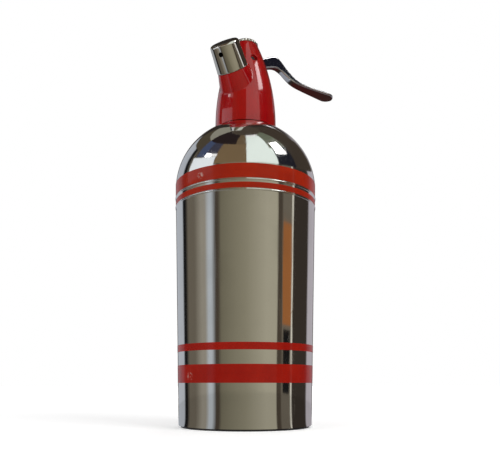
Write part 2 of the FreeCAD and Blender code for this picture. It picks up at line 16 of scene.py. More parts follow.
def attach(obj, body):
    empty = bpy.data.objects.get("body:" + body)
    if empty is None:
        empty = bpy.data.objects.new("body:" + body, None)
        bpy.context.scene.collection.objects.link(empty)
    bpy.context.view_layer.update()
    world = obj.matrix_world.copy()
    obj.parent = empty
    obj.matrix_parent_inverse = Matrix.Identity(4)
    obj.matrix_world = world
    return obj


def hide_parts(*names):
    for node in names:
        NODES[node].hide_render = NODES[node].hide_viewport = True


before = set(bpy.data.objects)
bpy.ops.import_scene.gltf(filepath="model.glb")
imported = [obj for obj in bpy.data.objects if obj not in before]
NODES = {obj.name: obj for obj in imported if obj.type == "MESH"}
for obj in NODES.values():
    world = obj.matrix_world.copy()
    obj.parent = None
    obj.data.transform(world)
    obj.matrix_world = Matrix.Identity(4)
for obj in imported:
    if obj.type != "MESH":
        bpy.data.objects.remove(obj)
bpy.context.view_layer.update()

# %% [markdown]
# The camera stands low, a little over 40 cm from the bottle's axis, and looks up at the head.
# That is why the bands curve upwards in the middle and why the lever shows its underside.
# A small vertical shift keeps the bottle's foot in the picture without tilting the camera further.

# %% Place the camera
MM = 0.001
SENSOR_WIDTH = 36
LENS = 43.44
UPWARD_SHIFT = 0.06
CAMERA_BEARING = -122.0
CAMERA_REACH = 417.6 * MM
CAMERA_HEIGHT = 28.0 * MM
CAMERA_PITCH = 11.08
CAMERA_SWING = -0.447


def added(name, data):
    """A new object in the scene."""
    item = bpy.data.objects.new(name, data)
    bpy.context.scene.collection.objects.link(item)
    return item


camera_data = bpy.data.cameras.new("camera")
camera = added("camera", camera_data)
bearing = math.radians(CAMERA_BEARING)
camera.location = (
    CAMERA_REACH * math.cos(bearing),
    CAMERA_REACH * math.sin(bearing),
    CAMERA_HEIGHT,
)
camera.rotation_euler = (
    math.radians(90 + CAMERA_PITCH),
    0,
    math.radians(CAMERA_BEARING + 90 + CAMERA_SWING),
)
camera_data.sensor_width = SENSOR_WIDTH
camera_data.lens = LENS
camera_data.shift_y = UPWARD_SHIFT
camera_data.clip_start = 10 * MM
bpy.context.scene.camera = camera
bpy.context.scene.view_settings.view_transform = "Standard"
print("camera", [round(number, 4) for number in camera.location])

# %% [markdown]
# A finish is a graph of shader nodes. Writing it as arithmetic keeps it readable: `Value` wraps a
# socket, so that `1 - mask * 0.5` adds its own Math nodes, and `Recipe.node` adds any other node.

# %% Write node graphs as arithmetic


class Value:
    """A socket of a node tree, with the arithmetic that adds Math nodes after it."""

    def __init__(self, recipe, socket):
        self.recipe = recipe
        self.socket = socket

    def maths(self, operation, *others):
        inputs = {index: other for index, other in enumerate((self, *others))}
        return self.recipe.node("ShaderNodeMath", inputs, operation=operation)

    def flipped(self, operation, other):
        return self.recipe.node("ShaderNodeMath", {0: other, 1: self}, operation=operation)

    def __add__(self, other):
        return self.maths("ADD", other)

    def __radd__(self, other):
        return self.flipped("ADD", other)

    def __sub__(self, other):
        return self.maths("SUBTRACT", other)

    def __rsub__(self, other):
        return self.flipped("SUBTRACT", other)

    def __mul__(self, other):
        return self.maths("MULTIPLY", other)

    def __rmul__(self, other):
        return self.flipped("MULTIPLY", other)

    def between(self, low, high):
        """0 below one value and 1 above another, with a soft step from one to the other."""
        return self.recipe.node(
            "ShaderNodeMapRange",
            {"Value": self, "From Min": low, "From Max": high},
            interpolation_type="SMOOTHSTEP",
        )


class Recipe:
    """A node tree that is being written."""

    def __init__(self, tree):
        self.tree = tree

    def node(self, kind, inputs=None, out=0, **settings):
        """One node: its settings first, then the values or links of its sockets."""
        made = self.tree.nodes.new(kind)
        for name, setting in settings.items():
            setattr(made, name, setting)
        for name, given in (inputs or {}).items():
            if isinstance(given, Value):
                self.tree.links.new(given.socket, made.inputs[name])
            else:
                made.inputs[name].default_value = given
        return Value(self, made.outputs[out]) if len(made.outputs) else None

    def mixed(self, share, first, second):
        """A colour between two others."""
        inputs = {"Factor": share, 6: first, 7: second}
        return self.node("ShaderNodeMix", inputs, out=2, data_type="RGBA")

    def noise(self, place, scale, detail=3.0):
        inputs = {"Vector": place, "Scale": scale, "Detail": detail}
        return self.node("ShaderNodeTexNoise", inputs)

    def stretched(self, place, scale):
        """Coordinates that are scaled along each axis before a pattern reads them."""
        return self.node("ShaderNodeMapping", {"Vector": place, "Scale": scale})

    def bump(self, height, strength, distance):
        inputs = {"Height": height, "Strength": strength, "Distance": distance}
        return self.node("ShaderNodeBump", inputs)


def new_finish(name):
    """An empty material and its recipe, with Object coordinates to start from."""
    material = bpy.data.materials.new(name)
    material.use_nodes = True
    material.node_tree.nodes.clear()
    recipe = Recipe(material.node_tree)
    place = recipe.node("ShaderNodeTexCoord", out="Object")
    return material, recipe, place


def close_finish(recipe, sockets):
    """The surface shader and the output at the end of a recipe."""
    shader = recipe.node("ShaderNodeBsdfPrincipled", sockets)
    recipe.node("ShaderNodeOutputMaterial", {"Surface": shader})


print("recipes ready")

# %% [markdown]
# Chrome plate is almost a mirror, so its look comes from what it reflects and from how it has aged.
# A polishing belt leaves faint lines, hands leave patches that are a little duller, and a few thin
# scratches catch the light. The lines are a noise that is stretched along the bottle and along the
# lever. On the small caps it is even.

# %% Chrome plate
SPECK_COLOUR = (0.28, 0.25, 0.22, 1.0)
POLISHED = 0.045


def darkened(colour, share):
    """A colour with its three parts scaled and its alpha kept."""
    return tuple(part * share for part in colour[:3]) + (1.0,)


def chrome_finish(name, tint, dullest, line_stretch, line_height):
    """Polished plate: how dull its patches are, and how its lines are stretched and how deep."""
    material, recipe, place = new_finish(name)
    lines = recipe.noise(recipe.stretched(place, line_stretch), 1.0, detail=4.0)
    patches = recipe.noise(place, 38.0, detail=4.0).between(0.42, 0.72)
    specks = recipe.noise(place, 2400.0, detail=1.0).between(0.70, 0.78)
    wander = recipe.noise(recipe.stretched(place, (90.0, 90.0, 11.0)), 1.0, detail=1.0)
    scratch = 1 - (wander - 0.5).maths("ABSOLUTE").between(0.0006, 0.0030)
    scratch = scratch * recipe.noise(place, 55.0, detail=1.0).between(0.55, 0.66)
    shade = recipe.mixed(patches, tint, darkened(tint, 0.94))
    shade = recipe.mixed(specks * 0.25, shade, SPECK_COLOUR)
    rough = POLISHED + patches * dullest + scratch * 0.10 + lines * 0.03
    height = lines * line_height + scratch * 0.35
    close_finish(recipe, {
        "Base Color": shade,
        "Metallic": 1.0,
        "Roughness": rough,
        "Normal": recipe.bump(height, 0.10, 0.0002),
    })
    return material


BOTTLE_TINT = (0.80, 0.79, 0.77, 1.0)
CAP_TINT = (0.64, 0.61, 0.56, 1.0)
LEVER_TINT = (0.62, 0.62, 0.64, 1.0)
bottle_chrome = chrome_finish(
    "bottle_chrome", BOTTLE_TINT, dullest=0.05, line_stretch=(520.0, 520.0, 9.0), line_height=0.9)
cap_chrome = chrome_finish(
    "cap_chrome", CAP_TINT, dullest=0.10, line_stretch=(120.0, 120.0, 120.0), line_height=0.3)
lever_chrome = chrome_finish(
    "lever_chrome", LEVER_TINT, dullest=0.08, line_stretch=(60.0, 500.0, 500.0), line_height=0.6)
print("three chrome finishes")

# %% [markdown]
# The head is die-cast and dipped in red enamel: a deep colour under a clear, glossy skin that is
# never perfectly flat. The bands are thinner, more orange paint with small chips from use.

# %% Enamels
PRIMER = (0.62, 0.50, 0.44, 1.0)
CHIP_HEART = 0.0008
CHIP_EDGE = 0.0036


def enamel_finish(name, deep, fresh, rough, coat, chip_place=None):
    """Glossy paint in two close colours, with one chipped spot if a place is given in metres."""
    material, recipe, place = new_finish(name)
    clouds = recipe.noise(place, 70.0, detail=3.0)
    skin = recipe.noise(place, 420.0, detail=2.0)
    dust = recipe.noise(place, 3000.0, detail=1.0).between(0.72, 0.78)
    colour = recipe.mixed(clouds.between(0.3, 0.7), deep, fresh)
    height = skin * 0.6 + dust * 0.5
    worn = dust * 0.12
    if chip_place:
        reach = recipe.node(
            "ShaderNodeVectorMath", {0: place, 1: chip_place}, out="Value", operation="DISTANCE")
        near = 1 - reach.between(CHIP_HEART, CHIP_EDGE)
        strokes = recipe.noise(recipe.stretched(place, (420.0, 420.0, 620.0)), 1.0, detail=3.0)
        worn = (worn + near * strokes.between(0.50, 0.66) * 0.75).maths("MINIMUM", 1.0)
    colour = recipe.mixed(worn, colour, PRIMER)
    close_finish(recipe, {
        "Base Color": colour,
        "Roughness": rough + worn * 0.3 + clouds * 0.05,
        "Coat Weight": coat - worn * coat,
        "Coat Roughness": 0.05,
        "Specular IOR Level": 0.1,
        "Normal": recipe.bump(height, 0.05, 0.0003),
    })
    return material


head_enamel = enamel_finish(
    "head_enamel", deep=(0.30, 0.0004, 0.0008, 1.0), fresh=(0.36, 0.0008, 0.0012, 1.0),
    rough=0.22, coat=1.0)
upper_band_paint = enamel_finish(
    "upper_band_paint", deep=(0.30, 0.0110, 0.0006, 1.0), fresh=(0.36, 0.0160, 0.0010, 1.0),
    rough=0.32, coat=0.30, chip_place=(-0.0465, -0.0180, 0.1625))
lower_band_paint = enamel_finish(
    "lower_band_paint", deep=(0.31, 0.0050, 0.0008, 1.0), fresh=(0.36, 0.0080, 0.0012, 1.0),
    rough=0.30, coat=0.35, chip_place=(-0.0452, -0.0060, 0.0330))
print("three enamels")

# %% [markdown]
# Inside the head are machined brass, plain stainless steel, moulded washers and a plastic tube.
# Little of it shows, but the brass nose and plug come into view when a cap is pulled off.

# %% Metals, rubber and plastic inside


def plain_finish(name, colour, metallic, rough, grain_scale, grain_height, spread):
    """A fine-grained material whose patches are darker by the share called spread."""
    material, recipe, place = new_finish(name)
    grain = recipe.noise(recipe.stretched(place, grain_scale), 1.0, detail=3.0)
    patches = recipe.noise(place, 120.0, detail=3.0).between(0.3, 0.75)
    close_finish(recipe, {
        "Base Color": recipe.mixed(patches, colour, darkened(colour, spread)),
        "Metallic": metallic,
        "Roughness": rough + grain * 0.12,
        "Normal": recipe.bump(grain, grain_height, 0.0002),
    })
    return material


brass = plain_finish(
    "turned_brass", (0.62, 0.43, 0.17, 1.0), metallic=1.0, rough=0.22,
    grain_scale=(300, 300, 3000), grain_height=0.25, spread=0.8)
steel = plain_finish(
    "plain_steel", (0.52, 0.52, 0.53, 1.0), metallic=1.0, rough=0.28,
    grain_scale=(900, 900, 900), grain_height=0.15, spread=0.85)
rubber = plain_finish(
    "black_rubber", (0.025, 0.025, 0.026, 1.0), metallic=0.0, rough=0.62,
    grain_scale=(700, 700, 700), grain_height=0.30, spread=0.7)
# Near-black steel for the lever's pin, as painted shade: it makes the pin's hole read dark.
pin_hole_shade_steel = plain_finish(
    "pin_hole_painted_shade", (0.045, 0.042, 0.040, 1.0), metallic=0.6, rough=0.50,
    grain_scale=(900, 900, 900), grain_height=0.2, spread=0.7)
plastic = plain_finish(
    "white_plastic", (0.74, 0.74, 0.70, 1.0), metallic=0.0, rough=0.40,
    grain_scale=(500, 500, 500), grain_height=0.10, spread=0.9)

INSIDE_FINISHES = {
    "brass": brass,
    "plain_steel": steel,
    "black_rubber": rubber,
    "white_plastic": plastic,
}
print(sorted(INSIDE_FINISHES))

# %% [markdown]
# Most of a siphon is turned or spun, so one helper turns an outline of (radius, height) points
# about Z. A radius that varies with the angle gives flutes. The seam and the poles are merged
# first, and only then are the normals made to point outwards.

# %% Turn an outline about an axis
SHARP_ANGLE = math.radians(32)
SUPPORT = 0.12
WELD = 1e-6
SLIVER = 1e-7
AXIS_LIMIT = 1e-6


def arc(middle, radius, start, stop, steps):
    """Points of (radius, height) round a middle, from one angle in degrees to another."""
    points = []
    for step in range(steps + 1):
        angle = math.radians(start + (stop - start) * step / steps)
        points.append((middle[0] + radius * math.cos(angle), middle[1] + radius * math.sin(angle)))
    return points


def rounded(outline, roundings, steps=5):
    """The outline with chosen corners cut back and rounded: {corner number: radius}.

    A support point beside each end of a rounding keeps the shading of the flat next to it flat.
    """
    points = []
    count = len(outline)
    for number, corner in enumerate(outline):
        size = roundings.get(number)
        if not size:
            points.append(corner)
            continue
        here = Vector(corner)
        back = (Vector(outline[number - 1]) - here).normalized()
        ahead = (Vector(outline[(number + 1) % count]) - here).normalized()
        points.append(tuple(here + back * (size + SUPPORT)))
        for step in range(steps + 1):
            share = step / steps
            first = here + back * size * (1 - share)
            second = here + ahead * size * share
            points.append(tuple(first.lerp(second, share)))
        points.append(tuple(here + ahead * (size + SUPPORT)))
    return points


def smooth_shaded(mesh):
    """Smooth faces, with the edges that turn sharply kept crisp."""
    shaped = bmesh.new()
    shaped.from_mesh(mesh)
    for face in shaped.faces:
        face.smooth = True
    for edge in shaped.edges:
        edge.smooth = len(edge.link_faces) == 2 and edge.calc_face_angle(0) < SHARP_ANGLE
    shaped.to_mesh(mesh)
    shaped.free()


def new_piece(name, mesh, body, slot, material, *replaced):
    """A finished mesh as a piece that rides on a body and stands for CAD nodes."""
    piece = added(name, mesh)
    mesh.materials.clear()
    mesh.materials.append(material)
    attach(piece, body)
    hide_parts(*replaced)
    print(f"{name}: {len(mesh.polygons)} faces")


def settled(name, shaped):
    """The mesh of a finished bmesh, which is freed."""
    mesh = bpy.data.meshes.new(name)
    shaped.to_mesh(mesh)
    shaped.free()
    return mesh


def turned_mesh(name, outline, segments=256, flute=None):
    """A closed outline in millimetres, turned about Z into a mesh in metres."""
    shaped = bmesh.new()
    rows = []
    for segment in range(segments):
        angle = 2 * math.pi * segment / segments
        row = []
        for radius, height in outline:
            reach = radius - (flute(angle, radius, height) if flute else 0)
            place = Vector((reach * math.cos(angle), reach * math.sin(angle), height))
            row.append(shaped.verts.new(place * MM))
        rows.append(row)
    count = len(outline)
    for segment, row in enumerate(rows):
        following = rows[(segment + 1) % segments]
        for number in range(count):
            other = (number + 1) % count
            if outline[number][0] < AXIS_LIMIT and outline[other][0] < AXIS_LIMIT:
                continue
            shaped.faces.new((row[number], row[other], following[other], following[number]))
    bmesh.ops.remove_doubles(shaped, verts=shaped.verts, dist=WELD)
    bmesh.ops.dissolve_degenerate(shaped, edges=shaped.edges, dist=SLIVER)
    bmesh.ops.recalc_face_normals(shaped, faces=shaped.faces)
    mesh = settled(name, shaped)
    smooth_shaded(mesh)
    return mesh


print("turning ready")

# %% [markdown]
# The bottle's shell is one deep-drawn cup: a wall that widens a little towards the shoulder, then
# half a ball with a hole for the neck. Two thin rolled beads stand out just below the upper bands,
# and the bands lie in shallow grooves. All of that is one outline, turned once.

# %% The bottle's shell
FOOT_RADIUS = 44.4
FOOT_HEIGHT = 1.2
SHOULDER_RADIUS = 50.0
SHOULDER_HEIGHT = 165.3
SHELL_WALL = 1.2
NECK_HOLE = 13.0
GROOVE = 0.55
GROOVE_SLANT = 0.02
RIM_FLAT = 0.2
RIM_ROUNDING = 0.35
RIM_KNEE = 0.1
RIM_SUPPORT = 0.6
BEAD_RADIUS = 0.7
BEAD_SUNK = 0.28
BEAD_DROP = 0.9
BEADED = ("upper_narrow_band", "upper_wide_band")
BANDS = {
    "lower_wide_band": (28.8, 11.4),
    "lower_narrow_band": (48.9, 4.6),
    "upper_narrow_band": (151.3, 3.8),
    "upper_wide_band": (158.0, 9.7),
}


def wall_radius(height):
    """The outer radius of the tapered wall at a height."""
    share = (height - FOOT_HEIGHT) / (SHOULDER_HEIGHT - FOOT_HEIGHT)
    return FOOT_RADIUS + (SHOULDER_RADIUS - FOOT_RADIUS) * share


def skin_radius(height):
    """The outer radius of the wall, or of the dome above the shoulder."""
    if height <= SHOULDER_HEIGHT:
        return wall_radius(height)
    return math.sqrt(SHOULDER_RADIUS ** 2 - (height - SHOULDER_HEIGHT) ** 2)


def shell_outline():
    """The shell from its lower rim up the outside, over the dome, and down its inside."""
    points = [
        (FOOT_RADIUS - SHELL_WALL + RIM_FLAT, FOOT_HEIGHT),
        (FOOT_RADIUS - RIM_ROUNDING, FOOT_HEIGHT),
        (FOOT_RADIUS - RIM_KNEE, FOOT_HEIGHT + RIM_KNEE),
        (FOOT_RADIUS, FOOT_HEIGHT + RIM_ROUNDING),
        (wall_radius(FOOT_HEIGHT + RIM_SUPPORT), FOOT_HEIGHT + RIM_SUPPORT),
    ]
    for name, (bottom, width) in BANDS.items():
        if name in BEADED:
            height = bottom - BEAD_DROP
            middle = (wall_radius(height) - BEAD_SUNK, height)
            tilt = math.degrees(math.acos(BEAD_SUNK / BEAD_RADIUS))
            points += arc(middle, BEAD_RADIUS, -tilt, tilt, 14)
        top = bottom + width
        points += [
            (skin_radius(bottom), bottom),
            (skin_radius(bottom) - GROOVE, bottom + GROOVE_SLANT),
            (skin_radius(top) - GROOVE, top - GROOVE_SLANT),
            (skin_radius(top), top),
        ]
    top_of_bands = BANDS["upper_wide_band"][0] + BANDS["upper_wide_band"][1]
    start = math.degrees(math.asin((top_of_bands - SHOULDER_HEIGHT) / SHOULDER_RADIUS))
    stop = math.degrees(math.acos(NECK_HOLE / SHOULDER_RADIUS))
    points += arc((0, SHOULDER_HEIGHT), SHOULDER_RADIUS, start, stop, 72)[1:]
    inner = SHOULDER_RADIUS - SHELL_WALL
    stop = math.degrees(math.acos(NECK_HOLE / inner))
    points += arc((0, SHOULDER_HEIGHT), inner, stop, 0, 24)
    return points


new_piece(
    "bottle_shell_skin", turned_mesh("bottle_shell_skin", shell_outline()),
    "bottle", "chrome", bottle_chrome, "bottle_shell")

# %% [markdown]
# Four enamelled bands repeat one rule at four heights: a flat ring with soft edges that follows
# the tapered wall. Geometry Nodes suit that. A grid is rolled up: one direction becomes the angle
# round the bottle, and the other runs round a squared-off oval, which is the band's cross-section.

# %% A band by Geometry Nodes
BAND_PROUD = 0.12
BAND_STEPS = 257
EDGE_STEPS = 33
SQUARENESS = 0.16


def band_tree():
    """The node tree of a band, with its sizes in metres as named inputs."""
    tree = bpy.data.node_groups.new("rolled_band", "GeometryNodeTree")
    face = tree.interface
    for name, low, high in (
            ("Bottom", 0.0, 1.0), ("Width", 0.0, 1.0), ("Bottom Radius", 0.0, 1.0),
            ("Top Radius", 0.0, 1.0), ("Depth", 0.0, 0.1)):
        socket = face.new_socket(name, in_out="INPUT", socket_type="NodeSocketFloat")
        socket.min_value = low
        socket.max_value = high
    face.new_socket("Finish", in_out="INPUT", socket_type="NodeSocketMaterial")
    face.new_socket("Mesh", in_out="OUTPUT", socket_type="NodeSocketGeometry")
    recipe = Recipe(tree)
    given = tree.nodes.new("NodeGroupInput")
    sizes = {socket.name: Value(recipe, socket) for socket in given.outputs if socket.name}
    grid = recipe.node("GeometryNodeMeshGrid", {
        "Size X": 1.0, "Size Y": 1.0, "Vertices X": BAND_STEPS, "Vertices Y": EDGE_STEPS})
    place = recipe.node("GeometryNodeInputPosition")
    split = tree.nodes.new("ShaderNodeSeparateXYZ")
    tree.links.new(place.socket, split.inputs[0])
    round_bottle = (Value(recipe, split.outputs[0]) + 0.5) * (2 * math.pi)
    round_edge = (Value(recipe, split.outputs[1]) + 0.5) * (2 * math.pi)

    def squared(wave):
        """A wave pressed towards its ends, so that an oval becomes a rounded rectangle."""
        size = wave.maths("ABSOLUTE").maths("POWER", SQUARENESS)
        return size * wave.maths("SIGN")

    across = (squared(round_edge.maths("COSINE")) + 1) * 0.5
    upwards = (squared(round_edge.maths("SINE")) + 1) * 0.5
    slope = sizes["Top Radius"] - sizes["Bottom Radius"]
    outer = sizes["Bottom Radius"] + slope * upwards
    reach = outer - sizes["Depth"] * (1 - across)
    height = sizes["Bottom"] + sizes["Width"] * upwards
    rolled = recipe.node("ShaderNodeCombineXYZ", {
        0: reach * round_bottle.maths("COSINE"),
        1: reach * round_bottle.maths("SINE"),
        2: height,
    })
    curled = recipe.node("GeometryNodeSetPosition", {"Geometry": grid, "Position": rolled})
    merged = recipe.node("GeometryNodeMergeByDistance", {"Geometry": curled, "Distance": 2 * WELD})
    real = recipe.node("GeometryNodeRealizeInstances", {"Geometry": merged})
    dressed = recipe.node(
        "GeometryNodeSetMaterial", {"Geometry": real, "Material": sizes["Finish"]})
    result = tree.nodes.new("NodeGroupOutput")
    tree.links.new(dressed.socket, result.inputs[0])
    return tree


def grown(name, tree, settings):
    """The plain mesh that a tree makes with these named inputs."""
    holder = added(name + "_holder", bpy.data.meshes.new(name + "_holder"))
    modifier = holder.modifiers.new("tree", "NODES")
    modifier.node_group = tree
    for item in tree.interface.items_tree:
        if item.item_type == "SOCKET" and item.in_out == "INPUT" and item.name in settings:
            modifier[item.identifier] = settings[item.name]
    graph = bpy.context.evaluated_depsgraph_get()
    graph.update()
    mesh = bpy.data.meshes.new_from_object(holder.evaluated_get(graph), depsgraph=graph)
    mesh.name = name
    holder.modifiers.clear()
    bpy.data.objects.remove(holder)
    shaped = bmesh.new()
    shaped.from_mesh(mesh)
    bmesh.ops.remove_doubles(shaped, verts=shaped.verts, dist=WELD)
    bmesh.ops.recalc_face_normals(shaped, faces=shaped.faces)
    shaped.to_mesh(mesh)
    shaped.free()
    smooth_shaded(mesh)
    return mesh


BAND_TREE = band_tree()
for name, (bottom, width) in BANDS.items():
    top = bottom + width
    paint = upper_band_paint if name.startswith("upper") else lower_band_paint
    mesh = grown(name + "_enamel", BAND_TREE, {
        "Bottom": bottom * MM,
        "Width": width * MM,
        "Bottom Radius": (wall_radius(bottom) + BAND_PROUD) * MM,
        "Top Radius": (min(wall_radius(top), SHOULDER_RADIUS) + BAND_PROUD) * MM,
        "Depth": (GROOVE + BAND_PROUD) * MM,
        "Finish": paint,
    })
    new_piece(name + "_enamel", mesh, "bottle", "band_enamel", paint, name)

# %% [markdown]
# The bottle stands on a rubber foot ring that is pressed into its skirt. Only its lower edge
# shows, as a dark line under the chrome, with its outer corner rounded off.

# %% The foot ring
FOOT_INSIDE = FOOT_RADIUS - SHELL_WALL
FOOT_WIDTH = 3.6
FOOT_TALL = 5.0
FOOT_SLANT = 0.6
foot_outline = rounded([
    (FOOT_INSIDE - FOOT_WIDTH, 0.0),
    (FOOT_INSIDE - FOOT_SLANT, 0.0),
    (FOOT_INSIDE, FOOT_HEIGHT),
    (FOOT_INSIDE, FOOT_TALL),
    (FOOT_INSIDE - FOOT_WIDTH, FOOT_TALL),
], {0: 0.5, 1: 0.5, 4: 0.4})
new_piece(
    "foot_ring_moulding", turned_mesh("foot_ring_moulding", foot_outline),
    "bottle", "black_rubber", rubber, "foot_ring")

# %% [markdown]
# The head is a tall pointed arch in section, with a round boss for the spout that grows out of it.
# Its CAD shape is right, but loose triangles would show as facets under gloss. A merged copy is
# shaded smooth, and wherever a corner lies on the turned column or on the boss, its normal is
# worked out from that surface instead of from the triangles.

# %% The head's casting
SPOUT_BEARING = math.radians(210.0)
SPOUT_RISE = math.radians(47.0)
SPOUT_ROOT = Vector((0, 0, 229.7))
SPOUT_AXIS = Vector((
    math.cos(SPOUT_RISE) * math.cos(SPOUT_BEARING),
    math.cos(SPOUT_RISE) * math.sin(SPOUT_BEARING),
    math.sin(SPOUT_RISE),
))
HEAD_BASE = (22.2, 216.0)
HEAD_TOP = (9.0, 279.0)
HEAD_ARC = 157.7
BOSS_RADIUS = 11.3
BOSS_FLARE = 0.22
BOSS_LENGTH = 28.9
ON_SURFACE = 0.02
SAME_WAY = 0.97


def arc_middle(first, last, radius):
    """The middle of an arc between two points that lies on the left of the way between them."""
    along = Vector(last) - Vector(first)
    across = Vector((-along.y, along.x)).normalized()
    halfway = (Vector(first) + Vector(last)) / 2
    return halfway + across * math.sqrt(radius ** 2 - (along / 2).length_squared)


def column_normals(places):
    """Outward normals of the turned column, and how far each place is from its surface."""
    middle = arc_middle(HEAD_BASE, HEAD_TOP, HEAD_ARC)
    radius = np.hypot(places[:, 0], places[:, 1])
    round_axis = places[:, :2] / np.maximum(radius, AXIS_LIMIT)[:, None]
    arched = places[:, 2] > HEAD_BASE[1]
    out = np.where(arched, radius - middle.x, 1.0)
    rise = np.where(arched, places[:, 2] - middle.y, 0.0)
    size = np.hypot(out, rise)
    miss = np.where(arched, np.abs(size - HEAD_ARC), np.abs(radius - HEAD_BASE[0]))
    normals = np.column_stack((round_axis * (out / size)[:, None], rise / size))
    return normals, miss


def boss_normals(places):
    """The same for the tapered boss that carries the spout."""
    axis = np.array(SPOUT_AXIS)
    offset = places - np.array(SPOUT_ROOT)
    along = offset @ axis
    outwards = offset - along[:, None] * axis
    radius = np.linalg.norm(outwards, axis=1)
    normals = outwards / np.maximum(radius, AXIS_LIMIT)[:, None] + BOSS_FLARE * axis
    normals /= math.sqrt(1 + BOSS_FLARE ** 2)
    return normals, np.abs(radius - BOSS_RADIUS - BOSS_FLARE * (BOSS_LENGTH - along))


def merged_copy(node, name, surfaces):
    """A welded, smooth-shaded copy of a CAD node, with exact normals on the given surfaces."""
    mesh = NODES[node].data.copy()
    mesh.name = name
    shaped = bmesh.new()
    shaped.from_mesh(mesh)
    bmesh.ops.remove_doubles(shaped, verts=shaped.verts, dist=2 * WELD)
    bmesh.ops.dissolve_degenerate(shaped, edges=shaped.edges, dist=SLIVER)
    shaped.to_mesh(mesh)
    shaped.free()
    smooth_shaded(mesh)
    places = np.empty(len(mesh.vertices) * 3)
    mesh.vertices.foreach_get("co", places)
    places = places.reshape(-1, 3) / MM
    loop_vertex = np.empty(len(mesh.loops), dtype=int)
    mesh.loops.foreach_get("vertex_index", loop_vertex)
    normals = np.empty(len(mesh.loops) * 3)
    mesh.corner_normals.foreach_get("vector", normals)
    normals = normals.reshape(-1, 3)
    face_of_loop = np.repeat(
        np.arange(len(mesh.polygons)), [polygon.loop_total for polygon in mesh.polygons])
    face_normals = np.empty(len(mesh.polygons) * 3)
    mesh.polygon_normals.foreach_get("vector", face_normals)
    face_normals = face_normals.reshape(-1, 3)[face_of_loop]
    for surface in surfaces:
        exact, miss = surface(places)
        exact = exact[loop_vertex]
        agrees = (exact * face_normals).sum(axis=1) > SAME_WAY
        chosen = (miss[loop_vertex] < ON_SURFACE) & agrees
        normals[chosen] = exact[chosen]
    mesh.normals_split_custom_set(normals.tolist())
    return mesh


new_piece(
    "head_casting", merged_copy("head_housing", "head_casting", (column_normals, boss_normals)),
    "head", "red_enamel", head_enamel, "head_housing")

# %% [markdown]
# The spout's cap is a short chromed thimble with a soft edge at its closed end. It is turned
# upright, a small hole is drilled through its underside for the jet, and then it is laid along
# the spout's own axis. Its open rim is rounded too, and catches a line of light.

# %% The spout's cap
CAP_SEAT_GAP = 0.1
CAP_LENGTH = 19.7
CAP_RIM = 11.5
CAP_END = 10.6
CAP_CORNER = 2.0
CAP_END_WALL = 2.4
CAP_CHAMBER = 6.5
CAP_BORE = 8.05
CAP_SEAT = 41.0
OUTLET_RADIUS = 1.7
OUTLET_REACH = 42.6
DRILL_OVERSHOOT = 1.0
SPOUT_FRAME = (
    Matrix.Translation(SPOUT_ROOT * MM)
    @ Matrix.Rotation(SPOUT_BEARING, 4, "Z")
    @ Matrix.Rotation(math.pi / 2 - SPOUT_RISE, 4, "Y")
)


def cap_outline():
    """The cap's wall from its inner seat, round the open rim, and back to the bore's roof."""
    low = BOSS_LENGTH + CAP_SEAT_GAP
    top = low + CAP_LENGTH
    points = rounded([
        (CAP_BORE, CAP_SEAT),
        (CAP_BORE, low),
        (CAP_RIM, low),
        (CAP_END, top - CAP_CORNER),
    ], {1: 0.4, 2: 0.5})
    points.insert(-1, (CAP_END + SUPPORT * 0.05, top - CAP_CORNER - SUPPORT))
    points += arc((CAP_END - CAP_CORNER, top - CAP_CORNER), CAP_CORNER, 3, 90, 12)
    points += [
        (CAP_END - CAP_CORNER - SUPPORT, top),
        (0.0, top),
        (0.0, top - CAP_END_WALL),
        (CAP_CHAMBER, top - CAP_END_WALL),
        (CAP_CHAMBER, CAP_SEAT),
    ]
    return points


def combined(mesh, tool_mesh, operation):
    """Two closed meshes as one, or the first one cut by the second."""
    block = added(mesh.name + "_block", mesh)
    tool = added(mesh.name + "_tool", tool_mesh)
    modifier = block.modifiers.new("combine", "BOOLEAN")
    modifier.operation = operation
    modifier.solver = "EXACT"
    modifier.object = tool
    graph = bpy.context.evaluated_depsgraph_get()
    result = bpy.data.meshes.new_from_object(block.evaluated_get(graph), depsgraph=graph)
    result.name = mesh.name
    bpy.data.objects.remove(block)
    bpy.data.objects.remove(tool)
    return result


def drilled(mesh, radius, start, stop):
    """The mesh with a round hole through it, from one point to another, in metres."""
    along = stop - start
    shaped = bmesh.new()
    turn = Vector((0, 0, 1)).rotation_difference(along).to_matrix().to_4x4()
    bmesh.ops.create_cone(
        shaped, cap_ends=True, segments=48, radius1=radius, radius2=radius,
        depth=along.length, matrix=Matrix.Translation((start + stop) / 2) @ turn)
    result = combined(mesh, settled("drill", shaped), "DIFFERENCE")
    smooth_shaded(result)
    return result


cap_mesh = turned_mesh("spout_cap_thimble", cap_outline(), segments=192)
drill_start = Vector((CAP_CHAMBER - DRILL_OVERSHOOT, 0, OUTLET_REACH))
drill_stop = Vector((CAP_RIM + 2 * DRILL_OVERSHOOT, 0, OUTLET_REACH))
cap_mesh = drilled(cap_mesh, OUTLET_RADIUS * MM, drill_start * MM, drill_stop * MM)
cap_mesh.transform(SPOUT_FRAME)
new_piece(
    "spout_cap_thimble", cap_mesh, "spout_cap", "chrome", cap_chrome, "spout_cap")

# %% [markdown]
# The small chromed cap on top of the head is a flat disc that is gripped by shallow flutes round
# its rim. The flutes are cut into the outline while it turns, and they fade out towards the crown.

# %% The top cap
TOP_CAP_RADIUS = 9.3
TOP_CAP_CROWN = 8.3
TOP_CAP_SEAT = 279.1
TOP_CAP_LIP = 280.7
TOP_CAP_TOP = 281.6
TOP_CAP_BORE = 4.05
TOP_CAP_ROOF = 280.8
FLUTES = 28
FLUTE_DEPTH = 0.4
FLUTE_FADE = 1.0
LAND_SHARPNESS = 0.7
PLAIN_LIP = 0.2


